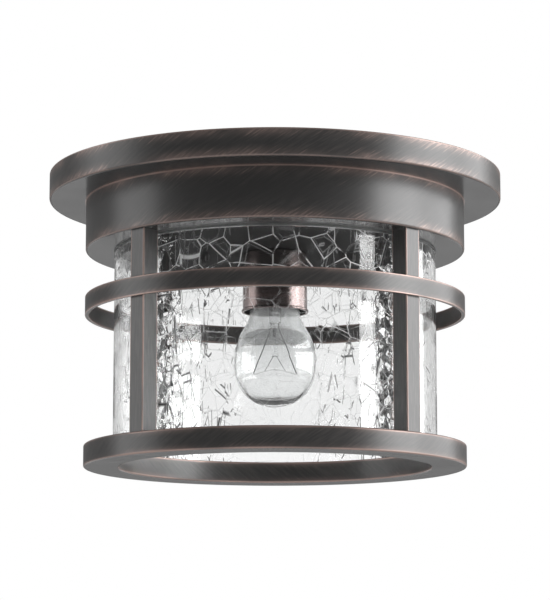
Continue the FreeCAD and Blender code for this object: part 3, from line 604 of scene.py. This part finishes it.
def post_tree():
    """A square bar with rounded upright edges, stood on its circle at an angle."""
    tree, given = new_geometry_tree("cage post", (
        ("Width", "NodeSocketFloat"), ("Corner Radius", "NodeSocketFloat"), ("Corner Steps", "NodeSocketInt"),
        ("Centre Radius", "NodeSocketFloat"), ("Angle", "NodeSocketFloat"), ("Bottom", "NodeSocketFloat"),
        ("Length", "NodeSocketFloat"), ("Material", "NodeSocketMaterial")))
    square = put(tree, "GeometryNodeCurvePrimitiveQuadrilateral", {
        "Width": given["Width"], "Height": given["Width"]}, mode="RECTANGLE")
    outline_shade = put(tree, "GeometryNodeFilletCurve", {
        "Curve": square.outputs[0], "Radius": given["Corner Radius"], "Count": given["Corner Steps"],
    }, mode="POLY")
    end = put(tree, "GeometryNodeFillCurve", {"Curve": outline_shade.outputs[0]}, mode="NGONS")
    up = xyz(tree, 0.0, 0.0, given["Length"])
    bar = put(tree, "GeometryNodeExtrudeMesh", {
        "Mesh": end.outputs[0], "Offset": up, "Offset Scale": 1.0, "Individual": False}, mode="FACES")
    foot = put(tree, "GeometryNodeFlipFaces", {"Mesh": end.outputs[0]})
    join = put(tree, "GeometryNodeJoinGeometry")
    tree.links.new(bar.outputs["Mesh"], join.inputs[0])
    tree.links.new(foot.outputs[0], join.inputs[0])
    whole = soften(tree, merged(tree, join.outputs[0], 0.01 * MM), math.radians(15))
    stood = put(tree, "GeometryNodeTransform", {
        "Geometry": whole, "Translation": xyz(tree, given["Centre Radius"], 0.0, given["Bottom"])})
    turned_round = put(tree, "GeometryNodeTransform", {
        "Geometry": stood.outputs[0], "Rotation": xyz(tree, 0.0, 0.0, given["Angle"])})
    end_geometry_tree(tree, turned_round.outputs[0], given["Material"])
    return tree


POST_NODES = ("post_back_right", "post_back_left", "post_front_left", "post_front_right")


def cage_posts(centre_radius, width):
    tree = post_tree()
    for number, node in enumerate(POST_NODES):
        low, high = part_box(node)
        angle = math.radians(45 + 90 * number)
        paint = post_bronze("rubbed bronze, " + node.replace("_", " "), angle, centre_radius, width / 2)
        sizes = {
            "Width": width, "Corner Radius": 0.6 * MM, "Corner Steps": 3, "Centre Radius": centre_radius,
            "Angle": angle, "Bottom": low.z, "Length": high.z - low.z, "Material": paint,
        }
        start = bpy.data.meshes.new(node + "_start")
        grown("cage_" + node, start, tree, sizes, [node], "lantern")


# ---- crackle glass --------------------------------------------------------------------------------
def crackle_cylinder(inner_radius):
    low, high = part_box("glass_cylinder")
    turned("crackle_glass_cylinder", [
        (inner_radius, low.z, 0.8 * MM),
        (high.x, low.z, 0.8 * MM),
        (high.x, high.z, 0.25 * MM),
        (inner_radius, high.z, 0.25 * MM),
    ], crackle_material(inner_radius, high.x), ["glass_cylinder"], "lantern", segments=320)


# ---- lamp socket ------------------------------------------------------------------------------------
def socket_cup_piece(barrel_hole):
    low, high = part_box("socket_cup")
    lip = high.x
    lip_top = low.z + 1.8 * MM
    lip_reach = 0.9 * MM
    radius = lip - lip_reach
    sheet = 1.0 * MM
    turned("lamp_cup", [
        (barrel_hole, high.z - sheet, 0),
        (radius - sheet, high.z - sheet, 0.5 * MM),
        (radius - sheet, low.z, 0.3 * MM),
        (lip, low.z, 0.6 * MM),
        (lip, lip_top, 0.6 * MM),
        (radius, lip_top, 0.3 * MM),
        (radius, high.z, 1.5 * MM),
        (barrel_hole, high.z, 0),
    ], brushed_cup_metal(), ["socket_cup"], "lantern", segments=128)


# ---- lamp -------------------------------------------------------------------------------------------
def between(share, before, start, end, after):
    """The smooth curve's value at a share of the way from start to end, given both neighbours."""
    square = 2 * before - 5 * start + 4 * end - after
    cube = 3 * start - before - 3 * end + after
    return 0.5 * (2 * start + (end - before) * share + square * share ** 2 + cube * share ** 3)


def smooth_line(points, steps):
    """A smooth line through points in a plane, for shapes that no arc describes."""
    line = []
    for index in range(len(points) - 1):
        before = points[max(index - 1, 0)]
        start, end = points[index], points[index + 1]
        after = points[min(index + 2, len(points) - 1)]
        for step in range(steps):
            values = zip(before, start, end, after)
            line.append(tuple(between(step / steps, *four) for four in values))
    line.append(points[-1])
    return line


def set_in(line, walls):
    """The same line moved inwards by each point's wall thickness."""
    moved = []
    for index, ((radius, height), wall) in enumerate(zip(line, walls)):
        r1, z1 = line[max(index - 1, 0)]
        r2, z2 = line[min(index + 1, len(line) - 1)]
        length = math.hypot(r2 - r1, z2 - z1)
        moved.append((max(radius + (z2 - z1) / length * wall, 0.0), height - (r2 - r1) / length * wall))
    return moved


def pear_line(low, high):
    """The lamp's outline from its neck to its lowest point, measured from the photograph."""
    widest = high.x
    centre = low.z + widest
    shoulder = [
        (11.4, high.z), (11.4, -0.0857), (12.6, -0.0895), (15.4, -0.0937), (17.9, -0.0980), (19.4, -0.1052),
        (22.2, -0.1112), (25.6, -0.1172), (28.3, -0.1240), (29.6, -0.1310)]
    line = smooth_line([(radius * MM, height) for radius, height in shoulder] + [(widest, centre)], 4)
    for step in range(1, 25):
        angle = math.radians(90 * step / 24)
        line.append((widest * math.cos(angle), centre - widest * math.sin(angle)))
    line[-1] = (0.0, low.z)
    return line


SIDE_WALL = 0.9 * MM
EXTRA_BOTTOM_WALL = 2.0 * MM

# Heights on the lamp, matched to the photograph.
# Painted highlight: the lamp's white haze grows between the first two heights.
HAZE_HIGHLIGHT_BOTTOM = -0.140
HAZE_HIGHLIGHT_TOP = -0.118
PLUG_BOTTOM = -0.1179
PLUG_TOP = -0.1120


def bulb_wall(below_centre, widest):
    """The blown wall's thickness, which grows towards the lamp's lowest point."""
    return SIDE_WALL + EXTRA_BOTTOM_WALL * max(below_centre / widest, 0.0) ** 4


def lamp_bulb():
    low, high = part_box("bulb_glass")
    outer = pear_line(low, high)
    inner = set_in(outer, [bulb_wall(low.z + high.x - height, high.x) for _, height in outer])
    corners = [(radius, height, 0) for radius, height in outer + inner[::-1]]
    glass = bulb_glass_material(HAZE_HIGHLIGHT_BOTTOM, HAZE_HIGHLIGHT_TOP)
    turned("lamp_bulb_glass", corners, glass, ["bulb_glass"], "bulb", segments=128)


def coil_tree():
    """Winds a fine wire round a path in a close spiral."""
    tree, given = new_geometry_tree("coiled filament", (
        ("Turns", "NodeSocketInt"), ("Steps per Turn", "NodeSocketInt"), ("Coil Radius", "NodeSocketFloat"),
        ("Wire Radius", "NodeSocketFloat"), ("Material", "NodeSocketMaterial")))
    count = calc(tree, "MULTIPLY", given["Turns"], given["Steps per Turn"])
    path = put(tree, "GeometryNodeResampleCurve", {"Curve": given["Geometry"], "Count": count})
    factor = put(tree, "GeometryNodeSplineParameter").outputs["Factor"]
    tangent = put(tree, "GeometryNodeInputTangent").outputs[0]
    side = vector_calc(tree, "NORMALIZE", vector_calc(tree, "CROSS_PRODUCT", tangent, (0.0, 1.0, 0.0)))
    angle = calc(tree, "MULTIPLY", calc(tree, "MULTIPLY", factor, given["Turns"]), math.tau)
    sideways = calc(tree, "MULTIPLY", calc(tree, "COSINE", angle), given["Coil Radius"])
    forwards = calc(tree, "MULTIPLY", calc(tree, "SINE", angle), given["Coil Radius"])
    offset = vector_calc(
        tree, "ADD",
        put(tree, "ShaderNodeVectorMath", {0: side, "Scale": sideways}, operation="SCALE").outputs[0],
        xyz(tree, 0.0, forwards, 0.0))
    wound = put(tree, "GeometryNodeSetPosition", {"Geometry": path.outputs[0], "Offset": offset})
    wire = put(tree, "GeometryNodeCurvePrimitiveCircle", {"Resolution": 6, "Radius": given["Wire Radius"]},
               mode="RADIUS")
    mesh = put(tree, "GeometryNodeCurveToMesh", {
        "Curve": wound.outputs[0], "Profile Curve": wire.outputs[0], "Fill Caps": True})
    end_geometry_tree(tree, soften(tree, mesh.outputs[0], math.radians(70)), given["Material"])
    return tree


def lamp_filament(material):
    low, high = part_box("bulb_filament")
    coil_room = 0.3 * MM
    half_span = (high.x - low.x) / 2 - coil_room
    shoulder_x = 7.4 * MM
    shoulder_z = high.z - 1.7 * MM
    points = [(-half_span, low.z + coil_room), (-shoulder_x, shoulder_z), (0, high.z - coil_room),
              (shoulder_x, shoulder_z), (half_span, low.z + coil_room)]
    curve = bpy.data.curves.new("filament_path", "CURVE")
    curve.dimensions = "3D"
    spline = curve.splines.new("POLY")
    line = smooth_line(points, 8)
    spline.points.add(len(line) - 1)
    for point, (x, z) in zip(spline.points, line):
        point.co = (x, 0, z, 1)
    sizes = {"Turns": 62, "Steps per Turn": 10, "Coil Radius": 0.21 * MM, "Wire Radius": 0.07 * MM,
             "Material": material}
    grown("lamp_filament", curve, coil_tree(), sizes, ["bulb_filament"], "bulb")


# ---- finishes of the pieces that keep their CAD shape -------------------------------------------------
def dress(material, *node_names):
    for name in node_names:
        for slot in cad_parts[name].material_slots:
            slot.material = material


def dress_hardware():
    zinc = speckled("zinc plate", (0.50, 0.50, 0.48, 1), (0.66, 0.66, 0.63, 1), 300.0, 0.38, 0.95)
    dress(zinc, "mounting_strap", "fixture_studs", "stud_lock_nuts", "post_end_plugs", "ring_studs",
          "post_screw_washers", "post_top_screws", "socket_mounting_screws")
    brass = speckled("stamped brass", (0.60, 0.42, 0.17, 1), (0.72, 0.55, 0.27, 1), 260.0, 0.30, 1.0)
    dress(brass, "socket_screw_shell", "socket_centre_contact", "socket_rivets", "socket_terminals",
          "terminal_screws")
    dress(speckled("green dyed screw", (0.03, 0.20, 0.07, 1), (0.06, 0.31, 0.12, 1), 400.0, 0.4, 0.6),
          "ground_screw")
    dress(speckled("black foam strip", (0.020, 0.020, 0.021, 1), (0.045, 0.045, 0.046, 1), 900.0, 0.9,
                   bump=0.5 * MM), "rim_gasket")
    dress(speckled("black rubber washer", (0.018, 0.018, 0.018, 1), (0.032, 0.031, 0.03, 1), 500.0, 0.62),
          "seal_washers")
    dress(speckled("dark bronze nut", (0.020, 0.019, 0.019, 1), (0.040, 0.036, 0.034, 1), 200.0, 0.55),
          "cap_nuts")
    dress(speckled("porcelain glaze", (0.80, 0.79, 0.74, 1), (0.86, 0.85, 0.81, 1), 90.0, 0.24, coat=0.5),
          "socket_body")
    dress(silicone(), "glass_top_gasket", "glass_bottom_gasket")


def dress_lamp():
    dress(speckled("dull solder", (0.42, 0.42, 0.41, 1), (0.58, 0.58, 0.57, 1), 500.0, 0.42, 0.9, 0.15 * MM),
          "bulb_centre_contact")
    dress(speckled("black cap glass", (0.010, 0.010, 0.010, 1), (0.022, 0.021, 0.022, 1), 200.0, 0.16),
          "bulb_cap_insulator")
    dress(speckled("drawn aluminium", (0.66, 0.65, 0.62, 1), (0.80, 0.79, 0.76, 1), 260.0, 0.30, 1.0),
          "bulb_screw_cap")
    dress(speckled("basing cement", (0.46, 0.40, 0.32, 1), (0.60, 0.53, 0.43, 1), 500.0, 0.85, bump=0.2 * MM),
          "bulb_cap_cement")
    wire = speckled("nickel wire", (0.035, 0.033, 0.031, 1), (0.07, 0.068, 0.066, 1), 900.0, 0.45, 0.6)
    dress(wire, "bulb_lead_wires", "bulb_support_wires")
    dress(stem_glass_material(PLUG_BOTTOM, PLUG_TOP), "bulb_stem")
    tungsten = speckled("tungsten coil", (0.035, 0.035, 0.037, 1), (0.07, 0.07, 0.072, 1), 900.0, 0.45, 0.6)
    lamp_filament(tungsten)


# ---- studio -------------------------------------------------------------------------------------------
FLOOR_RADIUS = 17.0
FLOOR_HEIGHT = -3.2
FLOOR_SIDES = 96


def studio_floor():
    """A pale floor far below the lantern, which also throws soft light up at its undersides."""
    mesh = bpy.data.meshes.new("studio_floor")
    turns = [math.tau * step / FLOOR_SIDES for step in range(FLOOR_SIDES)]
    rim = [(FLOOR_RADIUS * math.cos(turn), FLOOR_RADIUS * math.sin(turn), FLOOR_HEIGHT) for turn in turns]
    mesh.from_pydata(rim, [], [tuple(range(FLOOR_SIDES))])
    floor = bpy.data.objects.new("studio_floor", mesh)
    scene.collection.objects.link(floor)
    material, tree = new_material("pale studio floor")
    tone = noise(tree, object_place(tree), 2.0, 3.0)
    colour = mixed_colour(tree, tone, (0.80, 0.80, 0.80, 1), (0.84, 0.84, 0.84, 1))
    finish_material(tree, principled(tree, {
        "Base Color": colour, "Roughness": 0.9, "Specular IOR Level": 0.1,
        "Emission Color": (1, 1, 1, 1), "Emission Strength": 0.24,
    }))
    mesh.materials.append(material)


SOFTBOX_WIDTH = 1.22
SOFTBOX_HEIGHT = 1.2
SOFTBOX_DISTANCE = 2.0
SOFTBOX_LIFT = 0.23
LANTERN_MIDDLE = Vector((0, 0, -0.11))


def softbox(name, azimuth, power):
    """A large light turned to the lantern; azimuth is measured from the viewer towards +X."""
    angle = math.radians(azimuth)
    data = bpy.data.lights.new(name, "AREA")
    data.shape = "RECTANGLE"
    data.size = SOFTBOX_WIDTH
    data.size_y = SOFTBOX_HEIGHT
    data.energy = power
    light = bpy.data.objects.new(name, data)
    light.location = (SOFTBOX_DISTANCE * math.sin(angle), -SOFTBOX_DISTANCE * math.cos(angle), SOFTBOX_LIFT)
    aim = LANTERN_MIDDLE - light.location
    light.rotation_euler = aim.to_track_quat("-Z", "Y").to_euler()
    light.visible_camera = False
    scene.collection.objects.link(light)


def studio_world():
    """White behind the lantern and through its glass, dim where it is mirrored, soft light otherwise."""
    world = bpy.data.worlds.new("studio")
    world.use_nodes = True
    tree = world.node_tree
    tree.nodes.clear()
    path = put(tree, "ShaderNodeLightPath")
    direction = put(tree, "ShaderNodeSeparateXYZ", {0: put(tree, "ShaderNodeTexCoord").outputs["Generated"]})
    behind = put(tree, "ShaderNodeMix", {0: path.outputs["Is Transmission Ray"], 2: 0.24, 3: 1.0},
                 data_type="FLOAT").outputs[0]
    mirrored = remap(tree, direction.outputs[1], -0.75, 0.55, 0.09, behind)
    was_mirrored = calc(tree, "GREATER_THAN", path.outputs["Glossy Depth"], 0.5)
    was_scattered = calc(tree, "GREATER_THAN", path.outputs["Diffuse Depth"], 0.5)
    seen = put(tree, "ShaderNodeMix", {0: was_mirrored, 2: 1.0, 3: mirrored}, data_type="FLOAT").outputs[0]
    strength = put(tree, "ShaderNodeMix", {0: was_scattered, 2: seen, 3: 0.55}, data_type="FLOAT").outputs[0]
    back = put(tree, "ShaderNodeBackground", {"Color": (1, 1, 1, 1), "Strength": strength})
    put(tree, "ShaderNodeOutputWorld", {0: back.outputs[0]})
    world.cycles.sampling_method = "NONE"
    scene.world = world


def photograph_camera():
    """The photograph's viewpoint: from the front and a little below, looking slightly up."""
    data = bpy.data.cameras.new("viewpoint")
    data.sensor_width = 36
    data.lens = 152.83
    data.clip_end = 50
    camera = bpy.data.objects.new("viewpoint", data)
    camera.location = (0, -1.8334, -0.39315)
    camera.rotation_euler = (math.radians(99.37), 0, 0)
    scene.collection.objects.link(camera)
    scene.camera = camera


# ---- put it together ------------------------------------------------------------------------------------
def main():
    pan_low, pan_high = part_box("ceiling_pan")
    drum_low, drum_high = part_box("drum_shell")
    band_low, band_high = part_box("mid_band")
    ring_low, ring_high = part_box("bottom_ring")
    gasket_low, gasket_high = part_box("glass_bottom_gasket")
    barrel_hole = 18.2 * MM
    ring_width = 25.5 * MM
    band_thickness = 2.8 * MM
    post_width = 13.5 * MM
    groove_from_hole = 1.3 * MM
    glass_clearance = 0.3 * MM
    groove_inner = ring_high.x - ring_width + groove_from_hole

    canopy_pan(pan_low, pan_high, drum_high.x)
    canopy_drum(drum_low, drum_high, barrel_hole, gasket_high.x)
    middle_band(band_low, band_high, band_thickness)
    bottom_ring(ring_low, ring_high, ring_width, (groove_inner, gasket_high.x, gasket_low.z))
    band_inner = band_high.x - band_thickness
    post_centre = math.sqrt(band_inner ** 2 - (post_width / 2) ** 2) - post_width / 2
    cage_posts(post_centre, post_width)
    crackle_cylinder(groove_inner + glass_clearance)
    socket_cup_piece(barrel_hole)
    lamp_bulb()
    dress_hardware()
    dress_lamp()

    studio_floor()
    softbox("right softbox", 77, 32)
    softbox("right back softbox", 111, 18)
    softbox("left softbox", -89, 9)
    studio_world()
    photograph_camera()
    scene.view_settings.view_transform = "Standard"


main()
